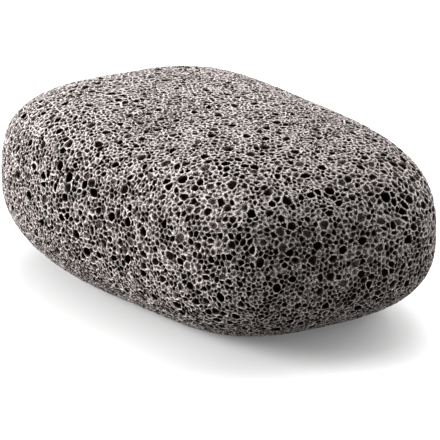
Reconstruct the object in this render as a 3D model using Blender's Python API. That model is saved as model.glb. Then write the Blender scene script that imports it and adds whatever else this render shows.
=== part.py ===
"""A pumice foot stone: one block of dark lava foam, sawn and tumbled to a rounded brick, in metres with +Z up.

The stone is one solid. It lies on its ground underside, with the origin under the middle of its box.
Its skin is a closed formula around the stone's heart, at its widest level. The largest gas bubbles
that the saw laid open are pits in that skin, each fused to the land between it and its neighbours.
"""

import bmesh
import bpy
import numpy as np
from mathutils import Vector
from mathutils.geometry import delaunay_2d_cdt

MM = 0.001
NODE = "pumice_stone"

# Driving dimensions: the box that the whole stone fills.
LENGTH = 100 * MM
WIDTH = 67.2 * MM
HEIGHT = 38.7 * MM

# The skin's formula, in units of half the length of its plan before the plan's waves.
HALF_WIDTH = 0.663
RISE = 0.445
FALL = 0.427
# How full the sections are: 2 is an ellipse, and more is squarer.
PLAN_POWER = 3.3
TOP_POWER = 3.13
BELOW_POWER = 2.41
# The underside is ground flat at this share of the fall.
GROUND_AT = 0.8
# A hand-cut plan isn't even: (waves round the plan, cosine share, sine share) of its radius.
PLAN_WAVES = ((1, 0.038, -0.032), (2, 0.0, 0.043), (3, 0.029, 0.012), (4, 0.005, 0.0))
# How far the sides lean along X and Y for each unit of height.
LEAN_X = -0.02
LEAN_Y = 0.023

# The open bubbles, largest first. Sizes are rim radii on the finished stone.
SEED = 11
PITS = 620
CANDIDATES = 24000
TRIES_PER_CANDIDATE = 6
PIT_RADIUS_MAX = 1.05 * MM
PIT_RADIUS_MIN = 0.62 * MM
PIT_SIZE_FALL = 0.7
PIT_SPACING = 4.1 * MM
PIT_DEPTH_SHARE = 1.2
PIT_DEPTH_UNEVEN = 0.2
RIM_UNEVEN = 0.16
RIM_MOST_REACH = 0.8
# The largest pits are cups with a floor ring. The others narrow straight down to a point.
CUP_PITS = 80
FLOOR_RING_REACH = 0.62
FLOOR_RING_DEPTH = 0.72
# A plain patch of the underside to stand on, in the middle of the box: its place in the formula and its radius.
FOOT_AT = (0.063, -0.029)
FOOT_RADIUS = 3.5 * MM
# Grinding left the underside this much hollow between its middle and four spots near its corners.
GROUND_HOLLOW = 0.02 * MM
MIDDLE_RADIUS = 6.5 * MM
SPOT_X = 20.0 * MM
SPOT_Y = 12.0 * MM

STONE_COLOUR = (0.17, 0.155, 0.145, 1.0)
STONE_ROUGHNESS = 0.95

# One formula unit on the finished stone, near enough for the sizes of pits.
LOWEST = -GROUND_AT * FALL
UNIT = HEIGHT / (RISE - LOWEST)
# Half the step over which the skin's slope is measured.
SLOPE_STEP = 0.001
# Any direction that isn't along the first bubble's, and how near two points of the net count as one.
ASIDE = (0.3, 0.5, 0.8)
SAME_POINT = 1e-9


def unit(vectors):
    return vectors / np.linalg.norm(vectors, axis=1)[:, None]


def plan_radius(angle):
    """Distance from the heart's axis to the skin at the heart's level, for plan angles in radians."""
    full = np.abs(np.cos(angle)) ** PLAN_POWER + np.abs(np.sin(angle) / HALF_WIDTH) ** PLAN_POWER
    uneven = 1.0
    for waves, cosine, sine in PLAN_WAVES:
        uneven = uneven + cosine * np.cos(waves * angle) + sine * np.sin(waves * angle)
    return full ** (-1 / PLAN_POWER) * uneven


def fullness(points):
    """1 on the skin and less inside, growing in proportion along each line from the heart."""
    z = points[:, 2]
    x = points[:, 0] - LEAN_X * z
    y = points[:, 1] - LEAN_Y * z
    across = np.hypot(x, y) / plan_radius(np.arctan2(y, x))
    up = np.where(z > 0, z / RISE, -z / FALL)
    power = np.where(z > 0, TOP_POWER, BELOW_POWER)
    return (across**power + up**power) ** (1 / power)


def skin(directions):
    """Points of the stone's surface along directions from its heart, with the underside ground flat."""
    points = directions / fullness(directions)[:, None]
    points[:, 2] = np.maximum(points[:, 2], LOWEST)
    return points


def outward(points):
    """Unit normals of the skin at these points."""
    steps = SLOPE_STEP * np.eye(3)
    slopes = [fullness(points + step) - fullness(points - step) for step in steps]
    normals = np.stack(slopes, axis=1)
    normals[points[:, 2] <= LOWEST] = (0, 0, -1)
    return unit(normals)


def even_directions(count, source):
    """Directions from the heart, spread evenly over the skin's area, in a random order."""
    tries = unit(source.normal(size=(count * TRIES_PER_CANDIDATE, 3)))
    points = skin(tries)
    # A narrow cone from the heart cuts the skin in an area that grows with distance cubed over height.
    area = np.linalg.norm(points, axis=1) ** 3 / (points * outward(points)).sum(axis=1)
    kept = source.random(len(tries)) * area.max() < area
    return tries[kept][:count]


def open_bubbles(source):
    """Directions and rim radii of the open bubbles, largest first and none nearer than its spacing."""
    directions = even_directions(CANDIDATES, source)
    points = skin(directions)
    foot = np.linalg.norm(points[:, :2] - FOOT_AT, axis=1) < (FOOT_RADIUS + PIT_RADIUS_MAX) / UNIT
    free = ~(foot & (points[:, 2] < 0))
    chosen = []
    while len(chosen) < PITS and free.any():
        chosen.append(int(np.argmax(free)))
        free &= np.linalg.norm(points - points[chosen[-1]], axis=1) > PIT_SPACING / UNIT
    fall = (np.arange(len(chosen)) / PITS) ** PIT_SIZE_FALL
    return directions[chosen], (PIT_RADIUS_MAX + (PIT_RADIUS_MIN - PIT_RADIUS_MAX) * fall) / UNIT


def net_over(directions):
    """Triangles that join neighbouring directions over the whole sphere."""
    pole = directions[0]
    side = unit(np.cross(pole, ASIDE)[None])[0]
    turned = directions[1:] @ np.stack((side, np.cross(pole, side), pole), axis=1)
    flat = turned[:, :2] / (1 - turned[:, 2:])
    triangles = np.array(delaunay_2d_cdt([Vector(p) for p in flat], [], [], 0, SAME_POINT)[2]) + 1
    edges = {(a, b) for corners in triangles.tolist() for a, b in zip(corners, corners[1:] + corners[:1])}
    round_pole = [(b, a, 0) for a, b in edges if (b, a) not in edges]
    return np.concatenate((triangles, np.array(round_pole)))


def evened(net, points):
    """The net with its edges turned to the even-sided triangles on the skin, all facing out."""
    mesh = bmesh.new()
    corners = [mesh.verts.new(point) for point in points]
    for triangle in net.tolist():
        mesh.faces.new([corners[i] for i in triangle])
    bmesh.ops.beautify_fill(mesh, faces=mesh.faces, edges=mesh.edges, method="AREA")
    mesh.verts.index_update()
    made = np.array([[v.index for v in face.verts] for face in mesh.faces])
    mesh.free()
    a, b, c = (points[made[:, i]] for i in range(3))
    inwards = (np.cross(b - a, c - a) * a).sum(axis=1) < 0
    return np.where(inwards[:, None], made[:, ::-1], made)


def twin_sides(net):
    """For each side of each triangle, its two corners, and the two corners there of the triangle across it."""
    corner = np.arange(net.size).reshape(net.shape)
    start, end = corner.ravel(), np.roll(corner, -1, axis=1).ravel()
    at = net.ravel()
    key = at[start] * net.size + at[end]
    order = np.argsort(key)
    twin = order[np.searchsorted(key, at[end] * net.size + at[start], sorter=order)]
    return start, end, start[twin], end[twin]


def rims_of(net, points, radii, source):
    """A rim point at each triangle's corner, out from that corner's pit towards the triangle's middle."""
    owner = net.ravel()
    weights = 1 / radii[net]
    middles = (points[net] * weights[:, :, None]).sum(axis=1) / weights.sum(axis=1)[:, None]
    spokes = np.repeat(middles, 3, axis=0) - points[owner]
    length = np.linalg.norm(spokes, axis=1)
    uneven = 1 + RIM_UNEVEN * source.uniform(-1, 1, len(owner))
    reach = np.minimum(radii[owner] * uneven, RIM_MOST_REACH * length) / length
    return skin(points[owner] + spokes * reach[:, None])


def pitted_skin(centres, radii, source):
    """Points and faces of the closed skin: the land, with a pit at each corner of the net."""
    points = skin(centres)
    net = evened(net_over(centres), points)
    owner = net.ravel()
    rims = rims_of(net, points, radii, source)
    depths = PIT_DEPTH_SHARE * radii * source.uniform(1 - PIT_DEPTH_UNEVEN, 1 + PIT_DEPTH_UNEVEN, len(radii))
    down = -outward(points) * depths[:, None]
    floor_rings = points[owner] + (rims - points[owner]) * FLOOR_RING_REACH + FLOOR_RING_DEPTH * down[owner]

    start, end, far_start, far_end = twin_sides(net)
    bottom = len(owner) + owner[start]
    ring = len(owner) + len(points)
    once = owner[start] < owner[end]
    cup = owner[start] < CUP_PITS
    faces = np.arange(len(owner)).reshape(net.shape).tolist()
    faces += np.stack((start, far_end, far_start, end), axis=1)[once].tolist()
    faces += np.stack((bottom, far_end, start), axis=1)[~cup].tolist()
    faces += np.stack((ring + start, ring + far_end, far_end, start), axis=1)[cup].tolist()
    faces += np.stack((bottom, ring + far_end, ring + start), axis=1)[cup].tolist()
    return np.concatenate((rims, points + down, floor_rings)), faces


def to_size(points):
    """The points drawn to the driving dimensions, with the origin under the middle of their box."""
    low, high = points.min(axis=0), points.max(axis=0)
    middle = np.array(((low[0] + high[0]) / 2, (low[1] + high[1]) / 2, low[2]))
    return (points - middle) * np.array((LENGTH, WIDTH, HEIGHT)) / (high - low)


def standing(points):
    """The points with the underside a little hollow, so that the stone stands on its middle and four spots."""
    ground = np.flatnonzero(points[:, 2] < GROUND_HOLLOW)
    place = points[ground, :2]
    kept = np.linalg.norm(place, axis=1) < MIDDLE_RADIUS
    spots = [(x, y) for x in (SPOT_X, -SPOT_X) for y in (SPOT_Y, -SPOT_Y)]
    kept[np.linalg.norm(place[:, None] - spots, axis=2).argmin(axis=0)] = True
    points[ground, 2] = np.where(kept, 0, GROUND_HOLLOW)
    return points


def stone_material():
    material = bpy.data.materials.new("grey_lava")
    material.use_nodes = True
    shader = material.node_tree.nodes["Principled BSDF"]
    shader.inputs["Base Color"].default_value = STONE_COLOUR
    shader.inputs["Roughness"].default_value = STONE_ROUGHNESS
    shader.inputs["Metallic"].default_value = 0.0
    return material


def build_stone():
    source = np.random.default_rng(SEED)
    centres, radii = open_bubbles(source)
    points, faces = pitted_skin(centres, radii, source)
    mesh = bpy.data.meshes.new(NODE)
    mesh.from_pydata(standing(to_size(points)).tolist(), [], faces)
    mesh.materials.append(stone_material())
    tidy = bmesh.new()
    tidy.from_mesh(mesh)
    unused = [vertex for vertex in tidy.verts if not vertex.link_faces]
    bmesh.ops.delete(tidy, geom=unused, context="VERTS")
    bmesh.ops.triangulate(tidy, faces=tidy.faces)
    tidy.to_mesh(mesh)
    tidy.free()
    stone = bpy.data.objects.new(NODE, mesh)
    bpy.context.scene.collection.objects.link(stone)


for leftover in list(bpy.data.objects):
    bpy.data.objects.remove(leftover)
build_stone()
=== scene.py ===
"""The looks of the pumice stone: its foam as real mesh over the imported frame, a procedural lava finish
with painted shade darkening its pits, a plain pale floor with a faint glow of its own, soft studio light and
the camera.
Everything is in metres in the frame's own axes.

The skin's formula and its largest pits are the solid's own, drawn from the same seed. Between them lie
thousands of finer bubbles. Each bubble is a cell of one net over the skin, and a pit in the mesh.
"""

import math

import bmesh
import bpy
import numpy as np
from mathutils import Matrix, Vector
from mathutils.geometry import delaunay_2d_cdt


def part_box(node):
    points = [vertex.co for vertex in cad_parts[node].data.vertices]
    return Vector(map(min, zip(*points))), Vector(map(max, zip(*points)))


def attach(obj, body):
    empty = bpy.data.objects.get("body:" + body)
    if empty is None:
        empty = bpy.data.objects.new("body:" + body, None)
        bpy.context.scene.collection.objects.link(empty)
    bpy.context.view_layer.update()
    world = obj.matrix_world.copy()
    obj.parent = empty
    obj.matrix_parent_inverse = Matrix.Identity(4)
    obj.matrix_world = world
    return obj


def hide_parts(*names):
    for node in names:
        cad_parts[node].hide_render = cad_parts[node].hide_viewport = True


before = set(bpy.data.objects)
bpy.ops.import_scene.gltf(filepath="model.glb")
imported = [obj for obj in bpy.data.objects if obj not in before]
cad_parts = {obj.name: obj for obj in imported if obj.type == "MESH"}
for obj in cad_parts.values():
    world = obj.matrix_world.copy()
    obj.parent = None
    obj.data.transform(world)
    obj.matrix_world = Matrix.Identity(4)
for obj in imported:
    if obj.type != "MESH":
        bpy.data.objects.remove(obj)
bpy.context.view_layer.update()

MM = 0.001
NODE = "pumice_stone"
SLOT = "grey_lava"

# The solid's formula, in units of half the length of its plan before the plan's waves.
HALF_WIDTH = 0.663
RISE = 0.445
FALL = 0.427
PLAN_POWER = 3.3
TOP_POWER = 3.13
BELOW_POWER = 2.41
GROUND_AT = 0.8
PLAN_WAVES = ((1, 0.038, -0.032), (2, 0.0, 0.043), (3, 0.029, 0.012), (4, 0.005, 0.0))
LEAN_X = -0.02
LEAN_Y = 0.023
LOWEST = -GROUND_AT * FALL
SLOPE_STEP = 0.001

# The solid's pits, drawn from the same seed: rim radii on the finished stone.
SEED = 11
PITS = 620
CANDIDATES = 24000
TRIES_PER_CANDIDATE = 6
PIT_RADIUS_MAX = 1.05 * MM
PIT_RADIUS_MIN = 0.62 * MM
PIT_SIZE_FALL = 0.7
PIT_SPACING = 4.1 * MM
FOOT_AT = (0.063, -0.029)
FOOT_RADIUS = 3.5 * MM

# The finer bubbles: how many are tried, and their cells' radii, as a usual radius and its spread.
MEDIUM_TRIED = 5000
MEDIUM_CELL = 0.55 * MM
MEDIUM_SPREAD = 0.25
FINE_TRIED = 160000
FINE_CELL = (0.36 * MM, 0.44 * MM)
CELL_MOST = 0.85 * MM
PACKING = 0.92
CELL_LEAST = FINE_CELL[0] * 0.8
# Bubbles are this coarse at least, and coarser towards the +X end, on the top, and in drifts.
COARSE_BASE = 0.9
COARSE_END = 0.2
COARSE_TOP = 0.18
END_SLANT = 0.35
DRIFT_SIZE = 0.35
DRIFT_SHARE = 0.312
DRIFT_WAVES = 7
# The net's plane for triangulating: any direction off the pole's, and how near two points count as one.
ASIDE = (0.3, 0.5, 0.8)
SAME_POINT = 1e-9

# Pits wider than this have land round them, and pits wider than the next have a floor.
RIMMED_CELL = 0.52 * MM
CUPPED_CELL = 0.7 * MM
# The flatter top is worn, so that narrower pits there have land too, by this share at most.
WORN_LAND = 0.4
WORN_FROM = 0.5
WORN_FULL = 0.8
# Land left between two pits, and how uneven rims are.
LAND = 0.16 * MM
LAND_UNEVEN = 0.6
RIM_LEAST_REACH = 0.55
RIM_UNEVEN = 0.22
# (share of pits, least and most depth as shares of the cell's radius, painted shade at the bottom).
DEPTHS = ((0.36, 1.0, 1.5, 1.0), (0.36, 0.6, 1.0, 0.5), (0.28, 0.4, 0.7, 0.27))
# Floor rings of cupped pits: how far towards the rim and how far down they lie, and their share of the
# bottom's painted shade.
FLOOR_RING_REACH = 0.72
FLOOR_RING_DEPTH = 0.66
FLOOR_RING_PAINTED_SHADE = 0.8
BOTTOM_WANDER = 0.4
# Spread of the painted shade at pit bottoms.
BOTTOM_PAINTED_SHADE = (0.85, 1.0)
# The sawn land is worn down unevenly by up to this much, and some walls between pits are broken.
WEAR = 0.08 * MM
BROKEN_WALLS = 0.1
BREAK_DEPTH = 0.45
SHARP_ANGLE = math.radians(38)

# Tones from the land's own colour at 0 down through painted shade to the bottom of the darkest pits; the
# steep first step keeps a painted highlight on the rims.
LAND_TONE_AND_PAINTED_SHADE = (
    (0.0, (0.29, 0.2665, 0.26)),
    (0.05, (0.168, 0.151, 0.146)),
    (0.11, (0.086, 0.0755, 0.072)),
    (0.22, (0.0265, 0.0213, 0.0197)),
    (0.38, (0.0053, 0.0036, 0.0031)),
    (0.6, (0.0008, 0.0005, 0.0004)),
)
# Pores finer than the mesh, bumped and darkened with painted shade, ragged edges to the pits' painted shade,
# and grain.
PORE_SIZE = 0.55 * MM
PORE_SHARE = 0.18
PORE_EDGE = (0.08, 0.3)
RAGGED_SIZE = 0.5 * MM
RAGGED_DETAIL = 2.0
RAGGED_SHARE = 0.35
GRAIN_SIZE = 0.3 * MM
GRAIN_DETAIL = 1.0
GRAIN_SHARE = 1.0
NOISE_ROUGHNESS = 0.6
LAVA_ROUGHNESS = 0.95
BUMP_STRENGTH = 0.8
BUMP_DEPTH = 0.35 * MM

WHITE = (1, 1, 1, 1)
FLOOR_HALF = 1.0
FLOOR_TONE = (0.35, 0.35, 0.35, 1)
FLOOR_ROUGHNESS = 0.6
FLOOR_GLOW = 0.13

# Round lamps that face the frame's origin: name, direction they stand in, width in metres, power in watts.
LAMP_DISTANCE = 1.2
LAMPS = (
    ("back", (0.0, 0.9, 0.43), 1.0, 34),
    ("right", (0.9, 0.1, 0.43), 1.0, 8),
    ("back_left", (-0.6, 0.57, 0.55), 1.0, 14),
    ("overhead_back", (-0.35, 0.35, 0.87), 1.0, 19),
    ("left_high", (-0.65, -0.25, 0.7), 1.0, 14),
    ("left", (-0.6, -0.75, 0.3), 0.8, 72),
)

# The camera: azimuth and elevation of the view, its distance, and where its axis passes the stone's heart.
VIEW_AZIMUTH = math.radians(54.94)
VIEW_ELEVATION = math.radians(21.04)
VIEW_ROLL = math.radians(0.627)
VIEW_DISTANCE = 0.6888
VIEW_RIGHT = 2.381 * MM
VIEW_UP = -4.9 * MM
VIEW_LENS = 264.1
SENSOR = 36
CLIP_END = 20
HEART = (-3.08 * MM, 1.443 * MM, 17.226 * MM)


def unit(vectors):
    return vectors / np.linalg.norm(vectors, axis=1)[:, None]


def plan_radius(angle):
    """Distance from the heart's axis to the skin at the heart's level, for plan angles in radians."""
    full = np.abs(np.cos(angle)) ** PLAN_POWER + np.abs(np.sin(angle) / HALF_WIDTH) ** PLAN_POWER
    uneven = 1.0
    for waves, cosine, sine in PLAN_WAVES:
        uneven = uneven + cosine * np.cos(waves * angle) + sine * np.sin(waves * angle)
    return full ** (-1 / PLAN_POWER) * uneven


def fullness(points):
    """1 on the skin and less inside, growing in proportion along each line from the heart."""
    z = points[:, 2]
    x = points[:, 0] - LEAN_X * z
    y = points[:, 1] - LEAN_Y * z
    across = np.hypot(x, y) / plan_radius(np.arctan2(y, x))
    up = np.where(z > 0, z / RISE, -z / FALL)
    power = np.where(z > 0, TOP_POWER, BELOW_POWER)
    return (across**power + up**power) ** (1 / power)


def skin(directions):
    """Points of the stone's surface along directions from its heart, with the underside ground flat.

    Points below the ground plane are lifted straight up to it. So a point that already lies on the ground
    face moves outward along it when it is passed in again.
    """
    points = directions / fullness(directions)[:, None]
    points[:, 2] = np.maximum(points[:, 2], LOWEST)
    return points


def outward(points):
    """Unit normals of the skin at these points."""
    steps = SLOPE_STEP * np.eye(3)
    slopes = [fullness(points + step) - fullness(points - step) for step in steps]
    normals = np.stack(slopes, axis=1)
    normals[points[:, 2] <= LOWEST] = (0, 0, -1)
    return unit(normals)


def even_directions(count, source):
    """Directions from the heart, spread evenly over the skin's area, in a random order."""
    tries = unit(source.normal(size=(count * TRIES_PER_CANDIDATE, 3)))
    points = skin(tries)
    # A narrow cone from the heart cuts the skin in an area that grows with distance cubed over height.
    area = np.linalg.norm(points, axis=1) ** 3 / (points * outward(points)).sum(axis=1)
    kept = source.random(len(tries)) * area.max() < area
    return tries[kept][:count]


class Placing:
    """How the formula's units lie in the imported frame's box."""

    def __init__(self):
        low, high = (np.array(corner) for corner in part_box(NODE))
        reach = skin(even_directions(CANDIDATES, np.random.default_rng(SEED)))
        self.low = reach.min(axis=0)
        self.scale = (high - low) / (reach.max(axis=0) - self.low)
        self.corner = low
        self.unit = self.scale[2]

    def place(self, points):
        return (points - self.low) * self.scale + self.corner


placing = Placing()
UNIT = placing.unit


def solid_bubbles(source):
    """Directions and rim radii of the solid's own pits, largest first."""
    directions = even_directions(CANDIDATES, source)
    points = skin(directions)
    foot = np.linalg.norm(points[:, :2] - FOOT_AT, axis=1) < (FOOT_RADIUS + PIT_RADIUS_MAX) / UNIT
    free = ~(foot & (points[:, 2] < 0))
    chosen = []
    while len(chosen) < PITS and free.any():
        chosen.append(int(np.argmax(free)))
        free &= np.linalg.norm(points - points[chosen[-1]], axis=1) > PIT_SPACING / UNIT
    fall = (np.arange(len(chosen)) / PITS) ** PIT_SIZE_FALL
    return directions[chosen], (PIT_RADIUS_MAX + (PIT_RADIUS_MIN - PIT_RADIUS_MAX) * fall) / UNIT


def coarseness(points, source):
    """How much wider than usual the bubbles are at these points."""
    end = np.clip(points[:, 0] - END_SLANT * points[:, 1], 0, 1)
    top = np.clip(outward(points)[:, 2], 0, 1)
    waves = unit(source.normal(size=(DRIFT_WAVES, 3))) / DRIFT_SIZE
    phases = source.uniform(0, 2 * math.pi, DRIFT_WAVES)
    drift = np.sin(points @ waves.T * math.pi + phases).mean(axis=1)
    return COARSE_BASE + COARSE_END * end * (1 - top) + COARSE_TOP * top + DRIFT_SHARE * drift


def packed_cells(points, cells):
    """Which cells are kept, largest first, so that no two overlap by more than the packing allows."""
    grid_step = 2 * PACKING * cells.max()
    keys = np.floor(points / grid_step).astype(int)
    grid = {}
    for i, key in enumerate(map(tuple, keys.tolist())):
        grid.setdefault(key, []).append(i)
    grid = {key: np.array(members) for key, members in grid.items()}
    around = [(a, b, c) for a in (-1, 0, 1) for b in (-1, 0, 1) for c in (-1, 0, 1)]
    free = np.ones(len(points), bool)
    kept = []
    for i in np.argsort(-cells, kind="stable").tolist():
        if not free[i]:
            continue
        kept.append(i)
        x, y, z = keys[i].tolist()
        for a, b, c in around:
            near = grid.get((x + a, y + b, z + c))
            if near is not None:
                gap = np.linalg.norm(points[near] - points[i], axis=1)
                free[near[gap < PACKING * (cells[near] + cells[i])]] = False
    return np.array(kept)


def all_bubbles(source):
    """Directions and cell radii of every open bubble: the solid's pits, then the finer ones between them."""
    large, rims = solid_bubbles(source)
    tried = even_directions(MEDIUM_TRIED + FINE_TRIED, source)
    fine = source.uniform(*FINE_CELL, len(tried))
    fine[:MEDIUM_TRIED] = MEDIUM_CELL * np.exp(MEDIUM_SPREAD * source.normal(size=MEDIUM_TRIED))
    fine = np.clip(fine * coarseness(skin(tried), source), CELL_LEAST, CELL_MOST) / UNIT
    directions = np.concatenate((large, tried))
    cells = np.concatenate((rims + LAND / UNIT / 2, fine))
    kept = packed_cells(skin(directions), cells)
    return directions[kept], cells[kept]


def net_over(directions):
    """Triangles that join neighbouring directions over the whole sphere."""
    pole = directions[0]
    side = unit(np.cross(pole, ASIDE)[None])[0]
    turned = directions[1:] @ np.stack((side, np.cross(pole, side), pole), axis=1)
    flat = turned[:, :2] / (1 - turned[:, 2:])
    triangles = np.array(delaunay_2d_cdt([Vector(p) for p in flat], [], [], 0, SAME_POINT)[2]) + 1
    edges = {(a, b) for corners in triangles.tolist() for a, b in zip(corners, corners[1:] + corners[:1])}
    round_pole = [(b, a, 0) for a, b in edges if (b, a) not in edges]
    return np.concatenate((triangles, np.array(round_pole)))


def evened(net, points):
    """The net with its edges turned to the even-sided triangles on the skin, all facing out."""
    mesh = bmesh.new()
    corners = [mesh.verts.new(point) for point in points]
    for triangle in net.tolist():
        mesh.faces.new([corners[i] for i in triangle])
    bmesh.ops.beautify_fill(mesh, faces=mesh.faces, edges=mesh.edges, method="AREA")
    mesh.verts.index_update()
    made = np.array([[v.index for v in face.verts] for face in mesh.faces])
    mesh.free()
    a, b, c = (points[made[:, i]] for i in range(3))
    inwards = (np.cross(b - a, c - a) * a).sum(axis=1) < 0
    return np.where(inwards[:, None], made[:, ::-1], made)


def twin_sides(net):
    """For each triangle's side, its two corners, and the two corners there of the triangle across it."""
    corner = np.arange(net.size).reshape(net.shape)
    start, end = corner.ravel(), np.roll(corner, -1, axis=1).ravel()
    at = net.ravel()
    key = at[start] * net.size + at[end]
    order = np.argsort(key)
    twin = order[np.searchsorted(key, at[end] * net.size + at[start], sorter=order)]
    return start, end, start[twin], end[twin]


class Net:
    """Triangles between neighbouring bubbles. Each corner of each triangle has a number of its own."""

    def __init__(self, triangles):
        self.triangles = triangles
        self.owner = triangles.ravel()
        self.middle = np.repeat(np.arange(len(triangles)), 3)
        self.start, self.end, self.far_start, self.far_end = twin_sides(triangles)


def rims_and_middles(net, points, cells, rimmed, source):
    """The point of each pit's rim in each triangle's corner, and the triangles' middles, on the skin."""
    weights = 1 / cells[net.triangles]
    middles = (points[net.triangles] * weights[:, :, None]).sum(axis=1) / weights.sum(axis=1)[:, None]
    spokes = middles[net.middle] - points[net.owner]
    length = np.linalg.norm(spokes, axis=1)
    land = LAND / UNIT / 2 * (1 + LAND_UNEVEN * source.uniform(-1, 1, len(points)))
    reach = 1 - land[net.owner] / length + RIM_UNEVEN * source.uniform(-1, 1, len(net.owner))
    reach = np.clip(reach, RIM_LEAST_REACH, 1)
    rims = skin(points[net.owner] + spokes * reach[:, None])
    middles = skin(middles)
    return np.where(rimmed[net.owner][:, None], rims, middles[net.middle]), middles


def lowering(net, cells, rimmed, source):
    """How far each rim point lies below the skin, by wear and where the wall to the next pit is broken."""
    low = source.uniform(0, WEAR / UNIT, len(net.triangles))[net.middle]
    low = low + source.uniform(0, WEAR / UNIT, len(net.owner)) * rimmed[net.owner]
    one, other = net.owner[net.start], net.owner[net.end]
    broken = (source.random(len(net.start)) < BROKEN_WALLS) & (one < other)
    dip = BREAK_DEPTH * np.minimum(cells[one], cells[other])
    breaks = np.zeros(len(net.triangles))
    np.maximum.at(breaks, net.middle[net.start[broken]], dip[broken])
    np.maximum.at(breaks, net.middle[net.far_start[broken]], dip[broken])
    return low + breaks[net.middle]


def pit_bottoms(points, normals, cells, source):
    """The deepest point of each pit, and how much painted shade its bottom gets."""
    kind = source.choice(len(DEPTHS), len(points), p=[row[0] for row in DEPTHS])
    least, most, painted_bottom_shade = (np.array([row[i] for row in DEPTHS])[kind] for i in (1, 2, 3))
    depths = cells * source.uniform(least, most)
    aside = np.cross(normals, unit(source.normal(size=(len(points), 3))))
    wander = aside * (BOTTOM_WANDER * cells)[:, None]
    painted_bottom_shade = painted_bottom_shade * source.uniform(*BOTTOM_PAINTED_SHADE, len(points))
    return points - normals * depths[:, None] + wander, painted_bottom_shade


def foam_faces(net, count, rimmed, cupped):
    """Faces of the land, of the walls between pits and of the pits, as numbers of foam's points."""
    owner, start, end, far_start, far_end = net.owner, net.start, net.end, net.far_start, net.far_end
    corners = len(owner)
    # A rim point for each triangle's corner, or the triangle's one point in common where a pit has no land.
    number = np.where(rimmed[owner], np.arange(corners), corners + net.middle)
    bottom = corners + len(net.triangles) + owner
    ring = corners + len(net.triangles) + count + np.arange(corners)
    land = number.reshape(-1, 3)[rimmed[net.triangles].sum(axis=1) >= 2]
    once = (owner[start] < owner[end]) & (rimmed[owner[start]] | rimmed[owner[end]])
    between = np.stack((number[start], number[far_end], number[far_start], number[end]), axis=1)[once]
    cup = cupped[owner[start]]
    cones = np.stack((bottom[start], number[far_end], number[start]), axis=1)[~cup]
    walls = np.stack((ring[start], ring[far_end], number[far_end], number[start]), axis=1)[cup]
    floors = np.stack((bottom[start], ring[far_end], ring[start]), axis=1)[cup]
    return land, between, cones, walls, floors


def foam():
    """Points in metres, faces, and each point's painted shade, from none on the land to most in the darkest
    pits.
    """
    source = np.random.default_rng(SEED)
    directions, cells = all_bubbles(source)
    points = skin(directions)
    normals = outward(points)
    net = Net(evened(net_over(directions), points))
    worn = np.clip((normals[:, 2] - WORN_FROM) / (WORN_FULL - WORN_FROM), 0, 1)
    rimmed = cells * (1 + WORN_LAND * worn) > RIMMED_CELL / UNIT
    cupped = cells > CUPPED_CELL / UNIT

    rims, middles = rims_and_middles(net, points, cells, rimmed, source)
    low = lowering(net, cells, rimmed, source)
    rims = rims - outward(rims) * low[:, None]
    shared = skin(middles) - outward(middles) * (low.reshape(-1, 3).min(axis=1))[:, None]
    bottoms, painted_bottom_shade = pit_bottoms(points, normals, cells, source)
    rings = points[net.owner] + (rims - points[net.owner]) * FLOOR_RING_REACH
    rings = rings + (bottoms - points)[net.owner] * FLOOR_RING_DEPTH

    everything = np.concatenate((rims, shared, bottoms, rings))
    # Painted shade: none on the land and rims, each pit's bottom value at its bottom and a share of it on
    # its floor ring.
    land = np.zeros(len(rims) + len(shared))
    painted_pit_shade = np.concatenate((land, painted_bottom_shade, painted_bottom_shade[net.owner] * FLOOR_RING_PAINTED_SHADE))
    return placing.place(everything), foam_faces(net, len(points), rimmed, cupped), painted_pit_shade


def without_doubles(quad):
    """A face's corners with repeats next to each other dropped, or None where under three are left."""
    kept = [a for a, b in zip(quad, quad[1:] + quad[:1]) if a != b]
    return kept if len(set(kept)) == len(kept) and len(kept) > 2 else None


def foam_mesh():
    points, groups, painted_pit_shade = foam()
    faces = [without_doubles(face) for group in groups for face in group.tolist()]
    faces = [face for face in faces if face]
    used = np.zeros(len(points), bool)
    used[np.concatenate([np.array(face) for face in faces])] = True
    renumber = np.cumsum(used) - 1
    faces = [renumber[face].tolist() for face in faces]
    mesh = bpy.data.meshes.new("pumice_foam")
    mesh.from_pydata(points[used].tolist(), [], faces)
    # The painted shade of each point, which the lava material turns into darker pits.
    attribute = mesh.attributes.new("painted_pit_shade", "FLOAT", "POINT")
    attribute.data.foreach_set("value", painted_pit_shade[used].astype(np.float32))
    mesh.shade_smooth()
    mesh.set_sharp_from_angle(angle=SHARP_ANGLE)
    return mesh


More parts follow.
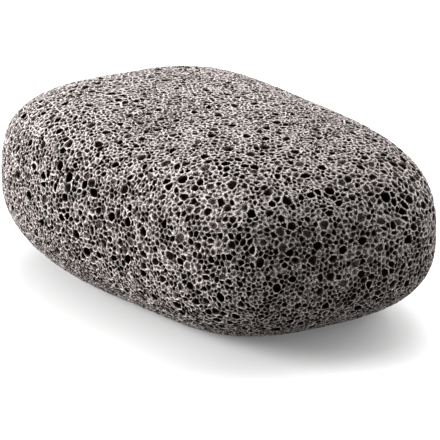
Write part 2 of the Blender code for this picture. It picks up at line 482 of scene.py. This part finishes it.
class Nodes:
    """A short way to add and join shader nodes."""

    def __init__(self, tree):
        self.tree = tree

    def add(self, kind, **values):
        node = self.tree.nodes.new(kind)
        for name, value in values.items():
            setattr(node, name, value)
        return node

    def join(self, output, socket):
        self.tree.links.new(output, socket)

    def sum(self, kind, first, second, third=None):
        """One math node; numbers are set on its sockets and outputs are joined to them."""
        node = self.add("ShaderNodeMath", operation=kind)
        for value, socket in zip((first, second, third), node.inputs):
            if isinstance(value, bpy.types.NodeSocket):
                self.join(value, socket)
            elif value is not None:
                socket.default_value = value
        return node.outputs[0]

    def noise(self, place, size, detail):
        """Fractal noise of this size, in metres, from 0 to 1."""
        node = self.add("ShaderNodeTexNoise")
        self.join(place, node.inputs["Vector"])
        node.inputs["Scale"].default_value = 1 / size
        node.inputs["Detail"].default_value = detail
        node.inputs["Roughness"].default_value = NOISE_ROUGHNESS
        return node.outputs["Fac"]

    def pores(self, place, size):
        """How far into a pore of this size each point is: 0 on the walls between them."""
        node = self.add("ShaderNodeTexVoronoi", feature="DISTANCE_TO_EDGE")
        self.join(place, node.inputs["Vector"])
        node.inputs["Scale"].default_value = 1 / size
        ranged = self.add("ShaderNodeMapRange", interpolation_type="SMOOTHSTEP")
        self.join(node.outputs["Distance"], ranged.inputs["Value"])
        ranged.inputs["From Min"].default_value = PORE_EDGE[0]
        ranged.inputs["From Max"].default_value = PORE_EDGE[1]
        return ranged.outputs[0]

    def ramp(self, value, stops):
        """A colour ramp with stops given as (position, (red, green, blue))."""
        node = self.add("ShaderNodeValToRGB")
        self.join(value, node.inputs[0])
        first, last = node.color_ramp.elements
        first.position, last.position = stops[0][0], stops[-1][0]
        first.color, last.color = (*stops[0][1], 1), (*stops[-1][1], 1)
        for position, colour in stops[1:-1]:
            node.color_ramp.elements.new(position).color = (*colour, 1)
        return node.outputs[0]


def lava():
    """Pale warm grey glass froth with pores finer than the mesh, and painted shade darkening its pits and
    pores.
    """
    material = bpy.data.materials.new(SLOT)
    material.use_nodes = True
    tree = material.node_tree
    nodes = Nodes(tree)
    shader = tree.nodes["Principled BSDF"]
    shader.inputs["Roughness"].default_value = LAVA_ROUGHNESS
    shader.inputs["Specular IOR Level"].default_value = 0.0
    place = nodes.add("ShaderNodeTexCoord").outputs["Object"]
    # The pits' painted shade from the mesh, with the pores' painted shade and ragged edges added, picks the
    # tone from the ramp.
    painted_pit_shade = nodes.add("ShaderNodeAttribute", attribute_name="painted_pit_shade").outputs["Fac"]
    ragged = nodes.sum("SUBTRACT", nodes.noise(place, RAGGED_SIZE, RAGGED_DETAIL), 0.5)
    pores = nodes.sum("MULTIPLY", nodes.pores(place, PORE_SIZE), PORE_SHARE)
    painted_shade = nodes.sum("MULTIPLY_ADD", ragged, RAGGED_SHARE, nodes.sum("ADD", painted_pit_shade, pores))
    colour = nodes.ramp(painted_shade, LAND_TONE_AND_PAINTED_SHADE)
    grain = nodes.noise(place, GRAIN_SIZE, GRAIN_DETAIL)
    grain = nodes.sum("MULTIPLY_ADD", grain, GRAIN_SHARE, 1 - GRAIN_SHARE / 2)
    mixed = nodes.add("ShaderNodeVectorMath", operation="SCALE")
    nodes.join(colour, mixed.inputs[0])
    nodes.join(grain, mixed.inputs["Scale"])
    nodes.join(mixed.outputs[0], shader.inputs["Base Color"])
    bump = nodes.add("ShaderNodeBump", invert=True)
    bump.inputs["Strength"].default_value = BUMP_STRENGTH
    bump.inputs["Distance"].default_value = BUMP_DEPTH
    nodes.join(nodes.sum("ADD", pores, nodes.sum("MULTIPLY", ragged, RAGGED_SHARE)), bump.inputs["Height"])
    nodes.join(bump.outputs[0], shader.inputs["Normal"])
    return material


def make_stone():
    stone = bpy.data.objects.new("pumice_foam", foam_mesh())
    bpy.context.scene.collection.objects.link(stone)
    stone.data.materials.append(lava())
    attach(stone, "root")
    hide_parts(NODE)


def make_floor():
    mesh = bpy.data.meshes.new("floor")
    corners = [(x * FLOOR_HALF, y * FLOOR_HALF, 0) for x, y in ((-1, -1), (1, -1), (1, 1), (-1, 1))]
    mesh.from_pydata(corners, [], [(0, 1, 2, 3)])
    floor = bpy.data.objects.new("floor", mesh)
    bpy.context.scene.collection.objects.link(floor)
    material = bpy.data.materials.new("white_floor")
    material.use_nodes = True
    shader = material.node_tree.nodes["Principled BSDF"]
    shader.inputs["Base Color"].default_value = FLOOR_TONE
    shader.inputs["Roughness"].default_value = FLOOR_ROUGHNESS
    shader.inputs["Emission Color"].default_value = WHITE
    shader.inputs["Emission Strength"].default_value = FLOOR_GLOW
    mesh.materials.append(material)


def make_camera():
    a, e = VIEW_AZIMUTH, VIEW_ELEVATION
    back = Vector((math.sin(a) * math.cos(e), -math.cos(a) * math.cos(e), math.sin(e)))
    right = Vector((math.cos(a), math.sin(a), 0))
    up = back.cross(right)
    place = Vector(HEART) + right * VIEW_RIGHT + up * VIEW_UP + back * VIEW_DISTANCE
    rolled = Matrix.Rotation(VIEW_ROLL, 3, back)
    turn = Matrix((rolled @ right, rolled @ up, back)).transposed()
    camera = bpy.data.objects.new("camera", bpy.data.cameras.new("camera"))
    bpy.context.scene.collection.objects.link(camera)
    camera.matrix_world = Matrix.Translation(place) @ turn.to_4x4()
    camera.data.lens = VIEW_LENS
    camera.data.sensor_width = SENSOR
    camera.data.clip_end = CLIP_END
    bpy.context.scene.camera = camera


def make_lamp(name, towards, width, power):
    light = bpy.data.lights.new(name, "AREA")
    light.shape = "DISK"
    light.size = width
    light.energy = power
    lamp = bpy.data.objects.new(name, light)
    bpy.context.scene.collection.objects.link(lamp)
    direction = Vector(towards).normalized()
    lamp.location = direction * LAMP_DISTANCE
    lamp.rotation_euler = direction.to_track_quat("Z", "Y").to_euler()


def make_world():
    """A white world to look at, which lights nothing."""
    world = bpy.data.worlds.new("studio")
    bpy.context.scene.world = world
    world.use_nodes = True
    background = world.node_tree.nodes["Background"]
    background.inputs["Color"].default_value = WHITE
    background.inputs["Strength"].default_value = 1.0
    world.cycles_visibility.diffuse = False
    world.cycles_visibility.glossy = False


make_camera()
make_stone()
make_floor()
for lamp in LAMPS:
    make_lamp(*lamp)
make_world()
bpy.context.scene.view_settings.view_transform = "Standard"
